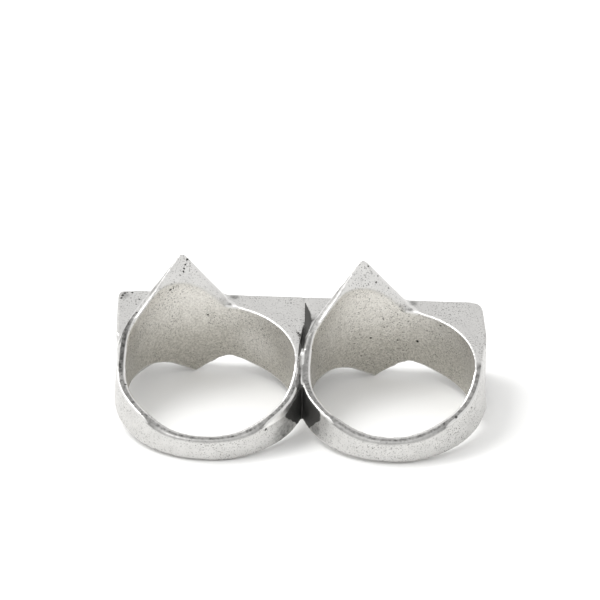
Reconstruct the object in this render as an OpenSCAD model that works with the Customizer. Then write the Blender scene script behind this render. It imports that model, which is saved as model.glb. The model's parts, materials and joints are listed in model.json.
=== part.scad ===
// Knuckle ring for two fingers: one casting in antiqued, silver-coloured metal.
// Two round bands stand side by side on a straight bar. Each band's far wall rises to a point
// above the bar and falls to a point below it. The points are turned a little to one side.
//
// Working frame: X runs along the bar, Y towards the display face, Z along the finger holes,
// with the bore centres at half height. The last step lays the casting on its side, on its two
// lower points and the fronts of its bands, with Z up from the surface that it rests on.

/* [Finger holes] */
// Inside diameter of the left, larger finger hole
hole_left_d = 17.8; // [17.4:0.1:18.2]
// Inside diameter of the right, smaller finger hole
hole_right_d = 17.2; // [16.8:0.1:17.6]
// Distance between the two hole centres, along the bar
hole_pitch = 19.2; // [19:0.1:19.4]

/* [Bands] */
// Wall of a band beside the finger, at half height
wall = 1.25; // [1.1:0.05:1.4]
// How much more metal a band has at the display side, and less at its front
wall_shift = 0.33; // [0.2:0.01:0.4]
// How far a band's outside leans in for each millimetre of height
draft = 0.08; // [0.04:0.01:0.1]
// Height of the rim above half height, at the front of the bands
rim_front = 0.97; // [0.8:0.05:1.2]
// Depth of the bands below half height, at the front
foot_front = 1.6; // [1.4:0.05:1.8]

/* [Bar] */
// Width of the whole casting beside the bands
bar_len = 39.2; // [39.1:0.1:39.4]
// How far the left end runs outwards from the band to the display face
end_out_left = 0.4; // [0:0.05:0.5]
// How far the right end runs inwards from the band to the display face
end_in_right = 0.5; // [0:0.05:0.6]
// Top face of the bar above half height
bar_top = 3.95; // [3.6:0.05:4.2]
// Bottom face of the bar below half height
bar_bottom = 3.35; // [3:0.05:3.6]
// Metal between the bores and the display face
face_wall = 2.0; // [1.5:0.1:2.3]
// How much higher the bar's top stands at its left end than between the rings
end_rise_left = 0.3; // [0:0.05:0.4]
// Radius of the upright corner at the left end
corner_left_r = 0.5; // [0.3:0.1:0.8]
// Radius of the upright corner at the right end
corner_right_r = 1.2; // [0.8:0.1:1.4]

/* [Points] */
// How far the points are turned about their bore, to the left
turn = 33; // [28:1:36]
// Height above half height at which the flanks of an upper point would meet
tip_top = 10.4; // [9:0.1:11]
// Radius that rounds the upper points
tip_r = 0.7; // [0.3:0.1:1]
// Lower point below half height
tip_bottom = 5.05; // [4.6:0.05:5.5]
// Slope of the flat that is cut on the inside of each upper point
cut_slope = 62; // [55:1:68]
// Height at which that flat meets the bore
cut_start = 7.8; // [7.2:0.1:8.2]

/* [Joint] */
// Width of the crease in the bar's top between the two rings, at the display face
crease_back = 0.15; // [0.1:0.05:0.3]
// Width of that crease where it reaches the bands
crease_front = 0.95; // [0.6:0.05:1.2]
// Slope of its right wall
crease_slope = 45; // [35:1:55]

/* [Hidden] */
$fn = 96;

// How far pieces of the casting run into each other
overlap = 0.05;
hole_left_r = hole_left_d / 2;
hole_right_r = hole_right_d / 2;
// The bar's ends are tangent to the bands, so the bores sit one band radius in from them
hole_left_x = -bar_len / 2 + hole_left_r + wall + overlap;
hole_right_x = hole_left_x + hole_pitch;
// Upright left wall of the crease, a little to the left of the middle between the bores
crease_x = (hole_left_x + hole_right_x) / 2 - 0.25;
// Where the crease reaches the bands
crease_end_y = 3;
// Both bores lie the same distance behind the display face
face_y = hole_left_r + face_wall;
hole_right_y = hole_left_r - hole_right_r;

// Rim of a band seen along the points' own direction: [across, height above half height]
rim_rows = [
    [-5.9, 5.5],
    [-5.0, 5.8],
    [-4.1, 6.05],
    [-3.2, 6.45],
    [-1.9, 7.3],
    [-0.6, 8.3]
];
// Lower edge of a band in the same view, from the left to the lower point
edge_left_rows = [
    [-6.0, -1.45],
    [-4.2, -1.6],
    [-2.8, -1.9],
    [-1.2, -2.5],
    [0.1, -3.15]
];
// Lower edge from the lower point to the right
edge_right_rows = [
    [5.2, -3.35],
    [6.0, -2.9],
    [6.9, -3.0],
    [7.8, -3.3],
    [9.0, -3.5]
];
// Where the points stand across that view, and where the right flank meets the bar
tip_across_left = 2.4;
tip_across_right = 2.15;
tip_low_across = 2.8;
flank_foot = 6.6;
// Foot of that flank, which runs out into the rim on its right: [past flank_foot, above the bar's top]
foot_rows = [
    [-0.35, 0.5],
    [0, 0.15],
    [0.5, 0.03]
];
// How far the rim stands above the bar's top at the far right of a band
rim_rise = 0.05;
// The points seen from above: [across, distance past the bore's wall], from the left inner corner
plan_rows = [
    [-0.6, -2],
    [-0.6, 0.8],
    [2.4, 1.45],
    [8.4, 2.75],
    [8.4, -7],
    [7.2, -6]
];
// Left end of the flat inside each upper point, and how far the cut reaches to both sides of the wall
cut_left = -3.6;
cut_depth = 3;
// Half width of that view, past the outside of every band
reach = 11;

// Rim seen from the side: [along Y, height above half height]
taper_rows = [
    [-9.2, rim_front],
    [-8.6, 1.05],
    [-8.0, 1.3],
    [-7.4, 1.58],
    [-6.5, 1.92],
    [-5.2, 2.22],
    [-4.0, 2.5],
    [-1.5, 3.5],
    [-0.4, 3.95],
    [0.8, 4.3],
    [1.6, 5.6],
    [2.2, 11.1]
];
// Rim to the left of each bore in the same view, where the rim climbs to the upper point
climb_rows = [
    [-6.5, 1.92],
    [-5.2, 2.15],
    [-3.8, 2.22],
    [-2.3, 2.3],
    [-1.5, 2.42],
    [-0.8, 2.7],
    [0, 3.25],
    [0.8, 4.0],
    [1.5, 4.75],
    [2.3, 5.4],
    [3.1, 6.2]
];
// Right-hand limit of that part of the rim, from the middle of its bore
climb_right = -4;
// Lower edge in the same view, from the points to the front
under_rows = [
    [4.6, -6.05],
    [4.4, -3.9],
    [-1, -foot_front]
];

// Lean of the display side above and below the bar
lean_top = 0.75;
lean_bottom = 0.25;
// How far the bar's near corners are tucked in behind the bands
corner_tuck = 0.35;

// Point on a Catmull-Rom curve between rows b and c
function between(a, b, c, d, t) =
    0.5 * (2 * b + (c - a) * t + (2 * a - 5 * b + 4 * c - d) * t * t + (3 * b - a - 3 * c + d) * t * t * t);

// The rows of a table with three more points worked out in each span
function smooth(rows, steps = 4) = concat(
    [
        for (i = [0 : len(rows) - 2], s = [0 : steps - 1])
            between(rows[max(i - 1, 0)], rows[i], rows[i + 1], rows[min(i + 2, len(rows) - 1)], s / steps)
    ],
    [rows[len(rows) - 1]]
);

// The same rows in the opposite order
function backwards(rows) = [for (i = [len(rows) - 1 : -1 : 0]) rows[i]];

// Direction from one point to another
function towards(from, to) = (to - from) / norm(to - from);

// Arc that rounds one corner of an outline, which turns to the right there
function rounded(before, corner, after, r, steps = 8) =
    let (
        back = towards(corner, before),
        on = towards(corner, after),
        half = acos(back * on) / 2,
        middle = corner + (back + on) / norm(back + on) * r / sin(half),
        arm = corner + back * r / tan(half) - middle
    )
    [
        for (k = [0 : steps], angle = -k * (180 - 2 * half) / steps)
            middle + [arm[0] * cos(angle) - arm[1] * sin(angle), arm[0] * sin(angle) + arm[1] * cos(angle)]
    ];

// Angle at which the casting rests on its lower points and the fronts of its bands
front_r = hole_left_r + wall + draft * foot_front - wall_shift;
tip_low_y = tip_low_across * sin(turn) + sqrt(pow(hole_left_r, 2) - pow(tip_low_across, 2)) * cos(turn);
rest_tilt = atan((tip_bottom - foot_front) / (tip_low_y + front_r));
rest_height = front_r * sin(rest_tilt) + foot_front * cos(rest_tilt);
// Lowest point of the band at its widest place, on the right
widest_depth = 2.3;
// Left and right limits of the casting, and the middle of its depth once it lies on its side
left_limit = -bar_len / 2 - end_out_left;
right_limit = hole_right_x + hole_right_r + wall + draft * widest_depth;
middle_y = 0.8445;

// Outline of one ring seen along its points' own direction
module band_outline(tip_across) {
    foot = [for (row = foot_rows) [flank_foot, bar_top] + row];
    polygon(concat(
        [[-reach, rim_rows[0][1]]],
        smooth(rim_rows),
        rounded(rim_rows[len(rim_rows) - 1], [tip_across, tip_top], foot[0], tip_r),
        foot,
        [
            [reach, bar_top + rim_rise],
            [reach, edge_right_rows[len(edge_right_rows) - 1][1]]
        ],
        backwards(smooth(edge_right_rows)),
        [[tip_low_across, -tip_bottom]],
        backwards(smooth(edge_left_rows)),
        [[-reach, -foot_front]]
    ));
}

// Outline of the whole casting seen from its right-hand end
module side_outline() {
    polygon(concat(
        [
            [-reach, -foot_front],
            [-reach, rim_front]
        ],
        smooth(taper_rows),
        [
            [face_y - lean_top, tip_top + 1],
            [face_y - lean_top, tip_top],
            [face_y, bar_top],
            [face_y, -bar_bottom],
            [face_y - lean_bottom, -tip_bottom - 1]
        ],
        under_rows
    ));
}

// Stands an outline up, so that it is seen along +Y, and draws it out to both sides
module draw_along_y(depth) {
    rotate([90, 0, 0])
        linear_extrude(height = depth, center = true)
            children();
}

// Band of one ring with its turned outline
module band(hole_r, tip_across) {
    height = tip_top + tip_bottom;
    intersection() {
        translate([0, wall_shift, -tip_bottom])
            rotate([0, 0, turn])
                cylinder(
                    h = height,
                    r1 = hole_r + wall + draft * tip_bottom,
                    r2 = hole_r + wall - draft * tip_top
                );
        rotate([0, 0, turn])
            draw_along_y(4 * reach)
                band_outline(tip_across);
    }
}

// Upper and lower point of one ring, from its bore out to the display face
module points(hole_r, tip_across) {
    intersection() {
        rotate([0, 0, turn])
            draw_along_y(4 * reach)
                band_outline(tip_across);
        rotate([0, 0, turn])
            translate([0, 0, -2 * reach])
                linear_extrude(height = 4 * reach)
                    polygon([for (row = plan_rows) [row[0], hole_r + row[1]]]);
    }
}

// Points of a quarter circle, from one angle to the next
function quarter(x, y, r, start) = [for (k = [0 : 6]) [x + r * cos(start - 15 * k), y + r * sin(start - 15 * k)]];

// Straight bar behind both bands, with round upright corners at its far ends and a top face that
// rises towards the left end
module bar() {
    left = -bar_len / 2;
    right = bar_len / 2;
    intersection() {
        translate([0, 0, -bar_bottom])
            linear_extrude(height = bar_top + bar_bottom + end_rise_left)
                polygon(concat(
                    [[left + corner_tuck, wall_shift], [left, face_y / 3]],
                    quarter(left - end_out_left + corner_left_r, face_y - corner_left_r, corner_left_r, 180),
                    quarter(right - end_in_right - corner_right_r, face_y - corner_right_r, corner_right_r, 90),
                    [[right, face_y / 2], [right, face_y / 3], [right - corner_tuck, wall_shift]]
                ));
        draw_along_y(4 * reach)
            polygon([
                [left - end_out_left, bar_top + end_rise_left],
                [hole_left_x, bar_top],
                [right, bar_top],
                [right, -bar_bottom],
                [left - end_out_left, -bar_bottom]
            ]);
    }
}

// Room in the bar for one band, whose wall fills it again up to its own rim and edge
module band_room(hole_r) {
    translate([0, wall_shift, -2 * reach])
        cylinder(h = 4 * reach, r = hole_r + wall - draft * bar_top - overlap);
}

// Wedge of metal taken off the inside of one upper point, to leave its flat
module inner_cut(hole_r) {
    rotate([0, 0, turn])
        intersection() {
            translate([0, hole_r, cut_start])
                rotate([cut_slope, 0, 0])
                    translate([-reach, -2 * reach, 0])
                        cube([2 * reach, 4 * reach, 2 * reach]);
            translate([cut_left, hole_r - cut_depth, bar_top])
                cube([flank_foot - cut_left, 2 * cut_depth, tip_top]);
        }
}

// Crease in the bar's top face between the two rings. Its left wall is upright. Its right wall slopes
// and runs off to the right, so the crease is wider and deeper towards the bands.
module crease() {
    widening = (crease_front - crease_back) / (face_y - crease_end_y);
    intersection() {
        translate([crease_x, -reach, 0])
            cube([2 * crease_front, 2 * reach, 2 * reach]);
        translate([crease_x + crease_back, face_y, bar_top])
            rotate([atan(widening * cos(crease_slope)), -crease_slope, 0])
                translate([-2 * reach, -2 * reach, 0])
                    cube([4 * reach, 4 * reach, 2 * reach]);
    }
}

// Metal above the climbing part of one ring's rim, from its bore out to the left
module above_climb(left) {
    last = climb_rows[len(climb_rows) - 1];
    translate([left, 0, 0])
        rotate([90, 0, 90])
            linear_extrude(height = climb_right - left)
                polygon(concat(
                    smooth(climb_rows),
                    [
                        [last[0], tip_top + 1],
                        [climb_rows[0][0], tip_top + 1]
                    ]
                ));
}

// Finger hole right through the casting, turned with its points
module bore(hole_r) {
    translate([0, 0, -2 * reach])
        rotate([0, 0, turn])
            cylinder(h = 4 * reach, r = hole_r);
}

// Whole casting in the working frame
module casting() {
    difference() {
        intersection() {
            union() {
                difference() {
                    bar();
                    translate([hole_left_x, 0, 0])
                        band_room(hole_left_r);
                    translate([hole_right_x, hole_right_y, 0])
                        band_room(hole_right_r);
                    crease();
                }
                translate([hole_left_x, 0, 0]) {
                    band(hole_left_r, tip_across_left);
                    points(hole_left_r, tip_across_left);
                }
                translate([hole_right_x, hole_right_y, 0]) {
                    band(hole_right_r, tip_across_right);
                    points(hole_right_r, tip_across_right);
                }
            }
            rotate([90, 0, 90])
                linear_extrude(height = 2 * bar_len, center = true)
                    side_outline();
        }
        translate([hole_left_x, 0, 0]) {
            bore(hole_left_r);
            inner_cut(hole_left_r);
            above_climb(-2 * reach);
        }
        translate([hole_right_x, hole_right_y, 0]) {
            bore(hole_right_r);
            inner_cut(hole_right_r);
            above_climb(crease_x - hole_right_x);
        }
    }
}

module cast_ring() {
    color("#CFCDC8")
        translate([-(left_limit + right_limit) / 2, -middle_y, rest_height])
            rotate([rest_tilt, 0, 0])
                casting();
}

cast_ring();
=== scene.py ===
import json
import math
from collections import namedtuple
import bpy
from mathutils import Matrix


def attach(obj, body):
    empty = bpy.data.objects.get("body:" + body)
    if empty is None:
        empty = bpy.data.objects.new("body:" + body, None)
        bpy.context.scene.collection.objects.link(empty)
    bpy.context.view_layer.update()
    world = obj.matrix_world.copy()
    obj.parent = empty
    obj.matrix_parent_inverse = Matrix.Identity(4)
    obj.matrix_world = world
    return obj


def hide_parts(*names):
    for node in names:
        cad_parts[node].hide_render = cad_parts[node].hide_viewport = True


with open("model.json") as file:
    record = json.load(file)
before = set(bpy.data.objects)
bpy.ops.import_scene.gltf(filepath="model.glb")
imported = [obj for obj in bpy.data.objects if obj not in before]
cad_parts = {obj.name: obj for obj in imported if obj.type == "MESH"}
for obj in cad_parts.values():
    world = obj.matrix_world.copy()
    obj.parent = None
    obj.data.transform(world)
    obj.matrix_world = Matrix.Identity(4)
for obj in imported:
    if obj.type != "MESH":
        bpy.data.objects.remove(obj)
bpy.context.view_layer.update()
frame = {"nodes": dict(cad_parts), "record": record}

from types import SimpleNamespace

import bmesh
import bpy
from mathutils import Matrix, Vector, kdtree, noise
from mathutils.bvhtree import BVHTree

# Camera, with a long lens, from the palm side and a little to the right. It looks down on the ring as
# it lies, and is rolled by less than half a degree.
azimuth = math.radians(2.8)
elevation = math.radians(28.76)
roll = math.radians(0.4)
camera_distance = 0.460
looked_at = Vector((-0.00016, 0.00411, 0.0116))
towards_camera = Vector((
    math.sin(azimuth) * math.cos(elevation),
    -math.cos(azimuth) * math.cos(elevation),
    math.sin(elevation),
))
lens = bpy.data.cameras.new("camera")
lens.sensor_width = 36
lens.lens = 260.8
lens.clip_start = 0.01
lens.clip_end = 20
camera = bpy.data.objects.new("camera", lens)
camera.matrix_world = (
    Matrix.Translation(looked_at + towards_camera * camera_distance)
    @ towards_camera.to_track_quat("Z", "Y").to_matrix().to_4x4()
    @ Matrix.Rotation(roll, 4, "Z")
)
bpy.context.scene.collection.objects.link(camera)
bpy.context.scene.camera = camera


# Light of a small white photo tent: its even white walls, and one softbox high up on the left, which
# casts the soft shadows.
def linear(hex_colour):
    parts = [int(hex_colour[i : i + 2], 16) / 255 for i in (1, 3, 5)]
    return [p / 12.92 if p <= 0.04045 else ((p + 0.055) / 1.055) ** 2.4 for p in parts] + [1]


def add_node(tree, kind, settings=None, sockets=None):
    made = tree.nodes.new(kind)
    for name, value in (settings or {}).items():
        setattr(made, name, value)
    for name, value in (sockets or {}).items():
        if isinstance(value, bpy.types.NodeSocket):
            tree.links.new(value, made.inputs[name])
        else:
            made.inputs[name].default_value = value
    return made


surround = bpy.data.worlds.new("white surround")
surround.use_nodes = True
surround.node_tree.nodes.clear()
glow = add_node(
    surround.node_tree,
    "ShaderNodeBackground",
    {},
    {"Color": linear("#FFFFFF"), "Strength": 1.0},
)
add_node(surround.node_tree, "ShaderNodeOutputWorld", {}, {"Surface": glow.outputs[0]})
bpy.context.scene.world = surround
bpy.context.scene.view_settings.view_transform = "Standard"

softbox_place = Vector((-0.51, 0.05, 0.86))
turned_to_ring = softbox_place.to_track_quat("Z", "Y").to_matrix().to_4x4()
softbox = bpy.data.lights.new("softbox on the left", "AREA")
softbox.size = 0.5
softbox.energy = 5.0
lamp = bpy.data.objects.new("softbox on the left", softbox)
lamp.matrix_world = Matrix.Translation(softbox_place) @ turned_to_ring
bpy.context.scene.collection.objects.link(lamp)

# Photo table: a sheet of matt white laminate under the ring, larger than any view of it. Its dull face
# takes soft shadows and shows no reflections.
table_shape = bmesh.new()
bmesh.ops.create_grid(table_shape, x_segments=1, y_segments=1, size=3)
table_mesh = bpy.data.meshes.new("photo_table")
table_shape.to_mesh(table_mesh)
table_shape.free()
photo_table = bpy.data.objects.new("photo_table", table_mesh)
bpy.context.scene.collection.objects.link(photo_table)
laminate = bpy.data.materials.new("matt white laminate")
laminate.use_nodes = True
laminate.node_tree.nodes.clear()
sheet = add_node(
    laminate.node_tree,
    "ShaderNodeBsdfPrincipled",
    {},
    {"Base Color": linear("#F6F6F5"), "Roughness": 0.9},
)
add_node(laminate.node_tree, "ShaderNodeOutputMaterial", {}, {"Surface": sheet.outputs[0]})
table_mesh.materials.append(laminate)

# The ring: one casting in sterling silver, with two bands, the bar behind them and a point above and
# below each band. It was tumbled and rubbed by hand after casting, so that its edges are worn round and
# its faces a little uneven.
mm = 1000
merged_within = 0.000002
solid = bmesh.new()
solid.from_mesh(frame["nodes"]["cast_ring"].data)
bmesh.ops.remove_doubles(solid, verts=solid.verts, dist=merged_within)
bmesh.ops.scale(solid, vec=(mm, mm, mm), verts=solid.verts)
solid.normal_update()


def points_along(least_turn, most_turn, convex):
    spacing = 0.04
    points = []
    for edge in solid.edges:
        turn = math.degrees(edge.calc_face_angle(0))
        if edge.is_convex == convex and least_turn < turn <= most_turn:
            first, last = (v.co for v in edge.verts)
            count = math.ceil(edge.calc_length() / spacing)
            points += [first.lerp(last, k / count) for k in range(count + 1)]
    return points


def nearest_of(points):
    tree = kdtree.KDTree(len(points))
    for index, point in enumerate(points):
        tree.insert(point, index)
    tree.balance()
    return lambda place: tree.find(place)[2]


# Each place on the ring knows how far it is from the solid's ridges, where silver wears bright, and from
# its valleys, where it stays dark. Where the faces turn by fewer degrees, the solid has a bend.
bend_turn = 14
ridge_turn = 50
valley_turn = 40
sharpest_turn = 180
ridge_points = points_along(ridge_turn, sharpest_turn, convex=True)
valley_points = points_along(valley_turn, sharpest_turn, convex=False)
to_any_ridge = nearest_of(ridge_points)
to_any_valley = nearest_of(valley_points)
# A ridge and a valley this close together are only a low step, so they count as neither.
step_mm = 0.08
to_ridge = nearest_of([point for point in ridge_points if to_any_valley(point) > step_mm])
to_valley = nearest_of([point for point in valley_points if to_any_ridge(point) > step_mm])
to_bend = nearest_of(
    points_along(bend_turn, ridge_turn, convex=True) + points_along(bend_turn, valley_turn, convex=False)
)
solid_faces = BVHTree.FromBMesh(solid)

# A fine even skin takes on the solid's own shape.
skin = bpy.data.meshes.new("casting")
solid.to_mesh(skin)
solid.free()
casting = bpy.data.objects.new("casting", skin)
bpy.context.scene.collection.objects.link(casting)


def baked(modifier_kind, **settings):
    modifier = casting.modifiers.new(modifier_kind, modifier_kind)
    for name, value in settings.items():
        setattr(modifier, name, value)
    made = bpy.data.meshes.new_from_object(casting.evaluated_get(bpy.context.evaluated_depsgraph_get()))
    casting.modifiers.remove(modifier)
    casting.data = made
    return made


grid_mm = 0.1
skin = baked("REMESH", mode="VOXEL", voxel_size=grid_mm)
shape = bmesh.new()
shape.from_mesh(skin)

# Both finger holes as the record states them, in millimetres.
Hole = namedtuple("Hole", "centre axis radius")
holes = [
    Hole(Vector(mount["pos_m"]) * mm, Vector(mount["axis"]).normalized(), mount["dims"]["r_mm"])
    for mount in frame["record"]["mounts"]
    if mount["kind"] == "bore"
]
left_hole, right_hole = holes
up_hole = left_hole.axis
back = up_hole.cross(Vector((1, 0, 0)))
joint_x = (left_hole.centre.x + right_hole.centre.x) / 2


def eased(value, low, high):
    t = min(max((value - low) / (high - low), 0), 1)
    return t * t * (3 - 2 * t)


def place_in_hole(place, hole):
    offset = place - hole.centre
    across, along = offset.x, offset.dot(back)
    return across, along, offset.dot(up_hole), math.hypot(across, along) - hole.radius


def wall_at(place, hole):
    return place_in_hole(place, hole)[3]


# The crease behind the joint: how far back, and where its left and right sides are from the joint. It is
# a little narrower than the solid's, and ends short of the bar's far edge.
crease_rows = [
    (1.0, -0.40, -0.20),
    (3.5, -0.35, 0.15),
    (4.5, -0.22, 0.35),
    (6.4, 0.00, 0.80),
    (7.3, 0.00, 0.80),
    (8.0, -0.04, 0.60),
    (9.9, -0.12, -0.05),
]


def crease_sides(along):
    for (near, *near_sides), (far, *far_sides) in zip(crease_rows, crease_rows[1:]):
        if along <= far:
            t = max((along - near) / (far - near), 0)
            return [a + (b - a) * t for a, b in zip(near_sides, far_sides)]
    return [0, 0]


# Beside the crease the solid's groove is filled up to the bar's top.
bar_top = 3.9
shape.normal_update()
for v in shape.verts:
    _, along, height, _ = place_in_hole(v.co, left_hole)
    from_joint = v.co.x - joint_x
    on_groove = abs(v.normal.x) > 0.3 or v.normal.dot(up_hole) > 0.3
    near_crease = 3.5 < along and -0.6 < from_joint < 1.4 and wall_at(v.co, right_hole) > 1.1
    if on_groove and near_crease and 1.2 < height < bar_top:
        left, right = crease_sides(along)
        if not left < from_joint < right + 0.3:
            v.co += up_hole * (bar_top - height)


def wear_down(verts, passes):
    for _ in range(passes):
        bmesh.ops.smooth_vert(
            shape, verts=verts, factor=0.5, use_axis_x=True, use_axis_y=True, use_axis_z=True
        )


def nearest_wall(place):
    return min(wall_at(place, hole) for hole in holes)


wear_down(shape.verts, passes=6)
# The outer edges of the bands are rubbed rounder than the others.
outer_edges = [v for v in shape.verts if to_ridge(v.co) < 0.4 and 0.7 < nearest_wall(v.co) < 1.6]
wear_down(outer_edges, passes=8)
# Bends are rubbed rounder than the edges.
wear_down([v for v in shape.verts if to_bend(v.co) < 0.45], passes=14)
# So are the tips of the upper points, the feet of their flats, the start of each rim's climb, the corner
# where the right rim passes the crease and the bar's far left corner.
rubbed = [
    # place and radius in millimetres, passes
    ((-12.1, 8.4, 14.9), 0.8, 8),
    ((7.2, 8.4, 14.9), 0.8, 8),
    ((-7.5, 7.4, 8.9), 1.2, 30),
    ((11.5, 7.4, 8.9), 1.2, 30),
    ((-18.3, 0.8, 9.2), 1.8, 40),
    ((1.1, 1.0, 9.3), 1.8, 40),
    ((-18.8, -0.2, 8.3), 1.0, 12),
    ((0.5, 0.1, 6.9), 0.9, 30),
    ((-19.7, 8.4, 9.3), 1.7, 60),
]
for place, radius, passes in rubbed:
    wear_down([v for v in shape.verts if (v.co - Vector(place)).length < radius], passes)
# Casting leaves the faces slightly wavy.
wave_height = 0.018
wave_length = 3.1
shape.normal_update()
for v in shape.verts:
    v.co += v.normal * wave_height * noise.noise(v.co / wave_length)
shape.to_mesh(skin)
shape.free()
# The even grid stays along the edges and round the recess, and gets coarser where the faces are plain.
even_beside_edge = 0.5
even_beside_joint = 3
most_triangles = 190000
plain = [
    v.index
    for v in skin.vertices
    if min(to_ridge(v.co), to_valley(v.co)) > even_beside_edge
    and (abs(v.co.x - joint_x) > even_beside_joint or v.co.y > 0)
]
casting.vertex_groups.new(name="plain").add(plain, 1, "REPLACE")
fewer = min(1, most_triangles / (2 * len(skin.polygons)))
skin = baked("DECIMATE", ratio=fewer, vertex_group="plain", vertex_group_factor=1)

# What the tumbling and rubbing did to each place on the skin is kept as layers, which the silver reads.
# The polish layer also carries painted highlights.
shape = bmesh.new()
shape.from_mesh(skin)
shape.normal_update()
# Where the middle of a point's flat is from its hole's centre, and which way it faces.
flat_from_hole = Vector((-2.8, 7.6, 10.1))
flat_faces = Vector((0.481, -0.814, 0.326))


# Where a place on the skin is, in millimetres from its own hole and from the joint, and how it faces.
def look_at(v):
    _, faces, _, _ = solid_faces.find_nearest(v.co)
    hole = min(holes, key=lambda hole: abs(v.co.x - hole.centre.x))
    across, along, height, wall = place_in_hole(v.co, hole)
    _, along_left, _, _ = place_in_hole(v.co, left_hole)
    from_joint = v.co.x - joint_x
    behind_flat = (hole.centre + flat_from_hole - v.co).dot(flat_faces)
    # High on the climb the rim's inner edge is the edge of the point's flat.
    inner_mm = wall
    if across < 0:
        inner_mm += (min(wall, 1.8 * behind_flat) - wall) * eased(height, 7.0, 9.0)
    return SimpleNamespace(
        co=v.co,
        faces=faces,
        upwards=faces.dot(up_hole),
        face_up=eased(v.normal.dot(up_hole), 0.1, 0.4),
        hole=hole,
        across=across,
        along=along,
        along_left=along_left,
        height=height,
        wall=wall,
        right_wall=wall_at(v.co, right_hole),
        from_joint=from_joint,
        behind_flat=behind_flat,
        inner_mm=inner_mm,
        # the rim gets narrower as it climbs
        rim_width=0.92 - 0.1 * eased(height, 5, 7) - 0.25 * eased(height, 7.5, 10),
        # 0 along the front of a band, 1 at its sides and behind
        sides=eased(abs(across), 0.45 * hole.radius, 0.75 * hole.radius) if along < 0 else 1,
        # the height down to which the outer edge is rubbed bright and painted as a highlight in front of
        # the recess
        rubbed_to=1.9 - 0.6 * eased(from_joint, -0.5, -1.4),
    )


# Along the front of a band the rim's edges aren't rubbed bright, nor are the left band's outer edge at
# the joint, the bar's own edges and the left edge of a point's flat. Where the rim climbs past the bar
# its outer edge stands too little proud of the bar for a ridge.
def edge_mm_of(at):
    outer_edge_at = 0.95
    edge = to_ridge(at.co)
    if at.across < 0 and -1 < at.along < 4 and at.height > 3.3 and at.upwards > 0.3:
        edge = min(edge, abs(at.wall - outer_edge_at))
    if at.hole is left_hole and at.across > 0 and -2.8 < at.along < 1.5 and at.wall > 0.5:
        edge = 1
    by_crease = at.right_wall > 1.1 and 3 < at.along_left < 11 and -0.8 < at.from_joint < 1.2
    on_bar = at.height < 4.5 and (at.wall > 1.6 or by_crease)
    by_flat = at.across < -2.6 and at.height > 4.5 and abs(at.behind_flat) < 0.3
    return 1 if on_bar or by_flat else min(edge + 1 - at.sides, 1)


def corner_mm_of(at):
    return min(to_valley(at.co), 1)


# The inside of a finger hole, short of its edges.
def bore_of(at):
    inwards = -(at.faces.x * at.across + at.faces.dot(back) * at.along) / math.hypot(at.across, at.along)
    in_bore = float(at.wall < 0.25 and inwards > 0.75 and abs(at.upwards) < 0.25)
    return in_bore * eased(min(to_bend(at.co), to_ridge(at.co)), 0.02, 0.3)


# The rim's own face, which climbs to the left of each point as a narrower one, darkest on the left.
# Along the front it is darkest in a line nearer to its inner edge, which fades to bare silver.
def rim_of(at):
    rim = at.face_up * eased(at.height, 0.3, 0.6)
    rim *= eased(at.inner_mm, at.rim_width + 0.1, at.rim_width - 0.1)
    high = eased(at.height, 5, 7)
    inner_line = 0.24 + 0.14 * high
    rim *= 1 - (at.sides - 0.6 * high) * eased(at.inner_mm, inner_line + 0.08, inner_line - 0.08)
    climbing = eased(at.height, 2.3, 3.0) if at.across < 0 else 0
    if at.along < 0:
        front = (1 - at.sides) * (1 - climbing)
        rim *= 1 - front * (0.8 * eased(at.wall, 0.38, 0.05) + 0.45 * eased(at.wall, 0.45, 0.65))
    rim *= eased(at.along, 0.8, -0.2) if at.across > 0 else eased(at.faces.x, 0.15, 0.05)
    far_left = eased(at.co.x, -17.3, -18.2) * eased(at.height, 8, 6)
    return rim * (1 + climbing * (0.4 * far_left - 0.15))


# Rubbed brightest, partly wear and partly a painted highlight: the outer edge of each climb up to the
# point's tip, and both outer edges that pass in front of the recess. The left one gets wider away from
# the joint.
def polish_and_highlight_of(at):
    climb_edge = at.face_up * eased(at.height, 2.0, 2.4) * eased(at.along, -2.5, -1.0)
    climb_edge *= eased(at.inner_mm, at.rim_width, at.rim_width + 0.15)
    climb_edge *= float(at.across < 0 and at.upwards > 0.15)
    climb_edge *= 1 if at.height > 4.6 else eased(at.wall, 1.3, 1.12)
    front_edge = eased(at.wall, 0.8, 0.92) * eased(at.height, at.rubbed_to - 0.2, at.rubbed_to)
    front_edge *= at.face_up if at.from_joint > 0 else 1
    front_edge *= eased(abs(at.from_joint), 4.2, 3.0) * eased(at.along, -2.2, -3.2)
    return max(climb_edge, front_edge)


# The black recess at the front of the joint is on the outside of both bands, with a ragged lower limit.
def recess_of(at):
    if at.from_joint < 0:
        lowest = 2.0 * -at.from_joint - 1.75
    else:
        lowest = 2.0 * max(at.from_joint - 0.75, 0) - 2.0
    lowest += 0.2 * noise.noise(at.co * 1.7)
    recess = eased(-at.from_joint, 1.55, 1.25) * eased(at.from_joint, 2.5, 2.1)
    recess *= eased(at.along, -0.5, -1.5) * eased(at.wall, 0.6, 0.9)
    recess *= eased(at.height, lowest - 0.2, lowest + 0.15) * eased(abs(at.upwards), 0.5, 0.3)
    below_edge = eased(at.height, at.rubbed_to + 0.1, at.rubbed_to - 0.1)
    return recess * max(below_edge, eased(at.from_joint, -0.5, -0.2))


# The crease is black between its sides, up to the bar's top.
def crease_of(at):
    left, right = crease_sides(at.along_left)
    crease = eased(at.from_joint, left - 0.05, left + 0.05)
    crease *= eased(at.from_joint, right + 0.1, right - 0.05)
    crease *= eased(at.along_left, 0.8, 1.3) * eased(at.right_wall, 0.98, 1.1)
    crease *= eased(at.height, 4.3, 4.15)
    return crease * float(at.height > 0.5 and at.along_left < 10.2)


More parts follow.
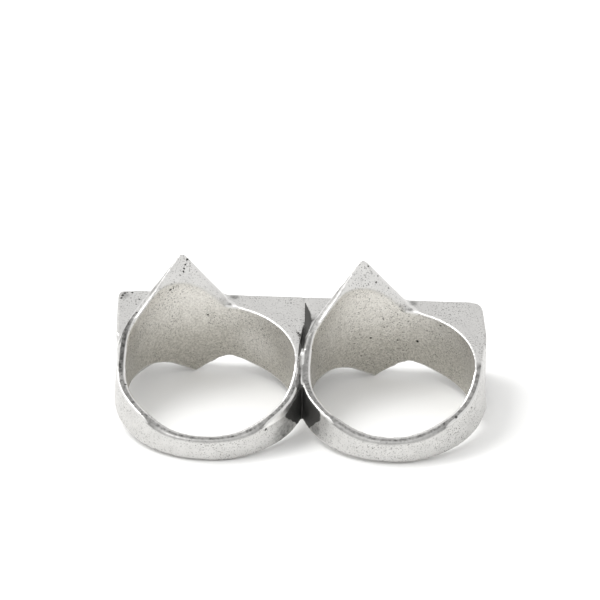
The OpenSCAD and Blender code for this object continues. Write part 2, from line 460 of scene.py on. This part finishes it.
# The gap between the two rims widens towards the recess.
def gap_of(at):
    middle = 0.165 * max(-0.5 - at.along_left, 0) - 0.27
    half = 0.10 + 0.08 * max(-1.0 - at.along_left, 0)
    gap = eased(abs(at.from_joint - middle), half + 0.07, half - 0.02) * eased(at.upwards, 0.2, 0.4)
    return gap * eased(at.along_left, -4.6, -4.2) * eased(at.along_left, 2.4, 2.0)


def black_of(at):
    return max(recess_of(at), crease_of(at), gap_of(at))


layer_values = {
    "edge_mm": edge_mm_of,
    "corner_mm": corner_mm_of,
    "bore": bore_of,
    "rim": rim_of,
    "polish_and_highlight": polish_and_highlight_of,
    "black": black_of,
}
layers = {name: shape.verts.layers.float.new(name) for name in layer_values}
for v in shape.verts:
    at = look_at(v)
    for name, value_of in layer_values.items():
        v[layers[name]] = value_of(at)
bmesh.ops.scale(shape, vec=(1 / mm, 1 / mm, 1 / mm), verts=shape.verts)
for face in shape.faces:
    face.smooth = True
shape.to_mesh(skin)
shape.free()

# Antiqued sterling silver: dipped in liver of sulphur until it is black all over, then tumbled and
# rubbed. Flats are a soft pale grey, edges shine, and dark sulphide stays in pits and corners.
silver = bpy.data.materials.new("antiqued sterling silver")
silver.use_nodes = True
tree = silver.node_tree
tree.nodes.clear()
coordinates = add_node(tree, "ShaderNodeTexCoord").outputs["Object"]
in_mm = add_node(
    tree, "ShaderNodeMapping", {}, {"Vector": coordinates, "Scale": (mm, mm, mm)}
).outputs[0]
edge_mm, corner_mm, bore, rim, polish_and_highlight, black = (
    add_node(tree, "ShaderNodeAttribute", {"attribute_name": name}).outputs["Fac"] for name in layers
)


def cloud(per_mm, detail=2.0, roughness=0.5):
    made = add_node(
        tree,
        "ShaderNodeTexNoise",
        {},
        {"Vector": in_mm, "Scale": per_mm, "Detail": detail, "Roughness": roughness},
    )
    return made.outputs["Fac"]


def ramp(value, low, high, start=0.0, end=1.0):
    made = add_node(
        tree,
        "ShaderNodeMapRange",
        {"interpolation_type": "SMOOTHSTEP"},
        {"Value": value, "From Min": low, "From Max": high, "To Min": start, "To Max": end},
    )
    return made.outputs[0]


def maths(operation, *values):
    return add_node(tree, "ShaderNodeMath", {"operation": operation}, dict(enumerate(values))).outputs[0]


def blend(amount, first, second):
    made = add_node(tree, "ShaderNodeMix", {"data_type": "RGBA"}, {0: amount, 6: first, 7: second})
    return made.outputs[2]


# Single pits and dents that show on the casting, each with its own blackened bottom. A wobble of up to
# half of wobble_mm either way keeps them from being round.
pits_seen = [
    # place and radius in millimetres
    ((-12.3, 7.0, 14.5), 0.16),
    ((-12.5, 6.7, 14.0), 0.11),
    ((-12.6, 6.5, 13.7), 0.12),
    ((-12.7, 6.3, 13.4), 0.14),
    ((-13.0, 6.0, 13.1), 0.11),
    ((6.9, 6.9, 14.4), 0.14),
    ((8.0, 7.1, 13.2), 0.11),
    ((7.8, 6.7, 12.6), 0.14),
    ((-14.0, 5.3, 11.7), 0.17),
    ((-13.7, 5.5, 11.8), 0.14),
    ((-10.2, 7.4, 7.7), 0.17),
    ((8.7, 7.5, 6.7), 0.13),
    ((7.3, 7.4, 5.4), 0.19),
    ((12.3, 7.5, 5.1), 0.24),
    ((14.7, 5.8, 8.1), 0.14),
    ((16.8, -7.0, 4.4), 0.24),
    ((-3.0, -8.4, 3.0), 0.20),
    ((-17.4, 2.8, 10.2), 0.13),
    ((-17.7, 2.4, 10.0), 0.12),
    ((-18.0, 1.4, 9.6), 0.14),
    ((-18.7, -1.9, 6.2), 0.15),
    ((-18.6, -2.5, 5.7), 0.13),
    ((-18.1, -3.8, 5.2), 0.15),
    ((-18.9, 8.65, 9.45), 0.14),
    ((-19.15, 8.45, 9.43), 0.20),
    ((-19.35, 8.1, 9.38), 0.24),
    ((-19.5, 7.65, 9.3), 0.20),
    ((-19.55, 7.2, 9.2), 0.14),
    ((-18.4, 8.6, 9.4), 0.14),
    ((-0.42, 3.24, 8.22), 0.13),
    ((-0.2, 3.1, 8.2), 0.19),
    ((-0.05, 2.85, 8.15), 0.22),
    ((-0.15, 2.55, 8.1), 0.16),
    ((-0.05, 2.25, 8.04), 0.16),
    ((-17.5, 7.6, 9.2), 0.16),
    ((-17.8, 6.7, 9.1), 0.13),
]
wobble_mm = 0.3
wobble = add_node(tree, "ShaderNodeTexNoise", {}, {"Vector": in_mm, "Scale": 4.0, "Detail": 1.0})
wobbled = add_node(
    tree,
    "ShaderNodeVectorMath",
    {"operation": "MULTIPLY_ADD"},
    {0: wobble.outputs["Color"], 1: (wobble_mm, wobble_mm, wobble_mm), 2: in_mm},
).outputs[0]


# A spot is at its full strength inside its core, which is a share of its radius, and fades outside it.
def spots(places, core):
    together = None
    for place, radius in places:
        middle = tuple(c + wobble_mm / 2 for c in place)
        away = add_node(
            tree, "ShaderNodeVectorMath", {"operation": "DISTANCE"}, {0: wobbled, 1: middle}
        )
        one = ramp(away.outputs["Value"], radius, radius * core)
        together = one if together is None else maths("MAXIMUM", together, one)
    return together


pits = spots(pits_seen, core=0.55)
# Stains that the tumbling left: beside the recess and the crease, and on the bar beside each point. None
# is inside a finger hole.
stains_seen = [
    # place and radius in millimetres
    ((1.9, -5.9, 2.0), 1.7),
    ((-1.9, -5.7, 1.2), 3.4),
    ((0.0, 2.8, 8.1), 0.6),
    ((-7.4, 8.7, 9.3), 0.9),
    ((11.8, 8.5, 9.3), 0.9),
    ((-19.2, 8.0, 9.4), 1.0),
]
stains = maths("MULTIPLY", spots(stains_seen, core=0.3), ramp(bore, 0.0, 1.0, start=0.56, end=0.0))

# Casting pits 0.1 to 0.25 mm across lie in loose clusters, and finer specks nearly everywhere. Both are
# drawn a little coarser than on the real ring, so that they still show.
cluster = cloud(per_mm=0.35, detail=1.0)
pitted = ramp(cloud(per_mm=3.2, roughness=0.6), 0.66, 0.72)
scattered = maths("MULTIPLY", pitted, ramp(cluster, 0.45, 0.60, start=0.15, end=0.9))
speckled = ramp(cloud(per_mm=6.5, detail=1.0, roughness=0.6), 0.56, 0.70)
specks = maths("MULTIPLY", speckled, ramp(cluster, 0.35, 0.65, start=0.30, end=0.60))
# The tone also changes over about a millimetre, the surface has a fine grain, and the rims kept more of
# the rough skin of the casting.
mottle = cloud(per_mm=0.8, detail=4.0, roughness=0.6)
grain = cloud(per_mm=4.5, roughness=0.7)
rough_cast = cloud(per_mm=2.6, detail=3.0, roughness=0.65)
worn = maths("MAXIMUM", ramp(edge_mm, 0.30, 0.14), polish_and_highlight)

# How black each kind of mark is, from 0 for bare silver to 1 for plain sulphide. It is held in pits, in
# corners and on the rough rim, but hardly on worn edges.
single_pit_black = 0.92
stain_black = 0.87
scattered_pit_black = 0.8
corner_black = 0.55
rim_pits = maths("MULTIPLY", ramp(rough_cast, 0.56, 0.63), ramp(rim, 0.7, 0.95, start=0.0, end=0.85))
rim_film = maths("MULTIPLY", rim, ramp(rough_cast, 0.40, 0.60, start=0.56, end=0.72))
rim_dark = maths("MAXIMUM", rim_film, rim_pits)
corner_dark = maths("MULTIPLY", ramp(corner_mm, 0.30, 0.06), corner_black)
held = maths("MAXIMUM", maths("MULTIPLY", scattered, scattered_pit_black), specks)
held = maths("MAXIMUM", maths("MAXIMUM", held, rim_dark), corner_dark)
held = maths("MULTIPLY", held, ramp(worn, 0.0, 1.0, start=1.0, end=0.15))
# Stains and the blackened recess have broken edges.
broken = maths("MULTIPLY_ADD", cloud(per_mm=2.2, detail=3.0, roughness=0.65), 0.6, -0.3)
stained = ramp(maths("ADD", maths("MAXIMUM", black, stains), broken), 0.2, 0.9)
single_pits_dark = maths("MULTIPLY", pits, single_pit_black)
stains_dark = maths("MULTIPLY", stained, stain_black)
dark = maths("MAXIMUM", held, maths("MAXIMUM", single_pits_dark, stains_dark))

# The bands are a little lighter than the bar, and the points lighter still.
up_mm = add_node(tree, "ShaderNodeSeparateXYZ", {}, {0: in_mm}).outputs["Z"]
patchy = ramp(mottle, 0.35, 0.65)
band_silver = blend(patchy, linear("#CECDCB"), linear("#D6D5D3"))
bar_silver = linear("#CAC9C7")
point_silver = blend(patchy, linear("#D7D6D4"), linear("#DFDEDC"))
worn_silver = linear("#E0DFDD")
polished_highlight_silver = linear("#FBFAF8")
sulphide = linear("#1F1E1B")
on_bar = ramp(up_mm, 6.6, 7.6)
on_points = ramp(up_mm, 9.2, 10.2)
flat = blend(on_points, blend(on_bar, band_silver, bar_silver), point_silver)
# Polished edges are near-white: partly bare silver and partly a painted highlight.
flat = blend(polish_and_highlight, blend(worn, flat, worn_silver), polished_highlight_silver)
# Painted light in the bore: lighter at the top below the points, and a painted highlight far right in the
# left hole.
grainy = ramp(grain, 0.35, 0.65)
# The darker bore colour is warmer, dirtier silver and painted shade; the lighter one is painted
# reflection.
shaded_dirty_bore = blend(grainy, linear("#AFACA4"), linear("#CCC9C1"))
lit_bore = blend(grainy, linear("#DFDCD7"), linear("#F1EFEA"))
height_seen = maths("ADD", up_mm, maths("MULTIPLY", mottle, 4.0))
# A painted highlight on the far right of the left hole.
painted_bore_highlight = maths("MULTIPLY", spots([((-4.7, 6.6, 5.2), 4.6)], core=0.05), 0.62)
bore_painted_light = maths("MAXIMUM", ramp(height_seen, 5.5, 13.0), painted_bore_highlight)
bare = blend(bore, flat, blend(bore_painted_light, shaded_dirty_bore, lit_bore))
colour = blend(dark, bare, sulphide)
# Sulphide is duller than silver, and worn edges are a little glossier.
rough = ramp(mottle, 0.3, 0.7, start=0.34, end=0.42)
rough = maths("ADD", rough, ramp(dark, 0.0, 1.0, end=0.3))
rough = maths("SUBTRACT", rough, ramp(worn, 0.0, 1.0, end=0.04))
relief = maths("SUBTRACT", maths("MULTIPLY", grain, 0.5), maths("ADD", pits, scattered))
relief_depth = 0.00005
bump = add_node(tree, "ShaderNodeBump", {}, {"Height": relief, "Strength": 0.8, "Distance": relief_depth})
metal = add_node(
    tree,
    "ShaderNodeBsdfPrincipled",
    {},
    {"Base Color": colour, "Metallic": 1.0, "Roughness": rough, "Normal": bump.outputs[0]},
)
add_node(tree, "ShaderNodeOutputMaterial", {}, {"Surface": metal.outputs[0]})
skin.materials.clear()
skin.materials.append(silver)
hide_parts("cast_ring")
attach(casting, "root")
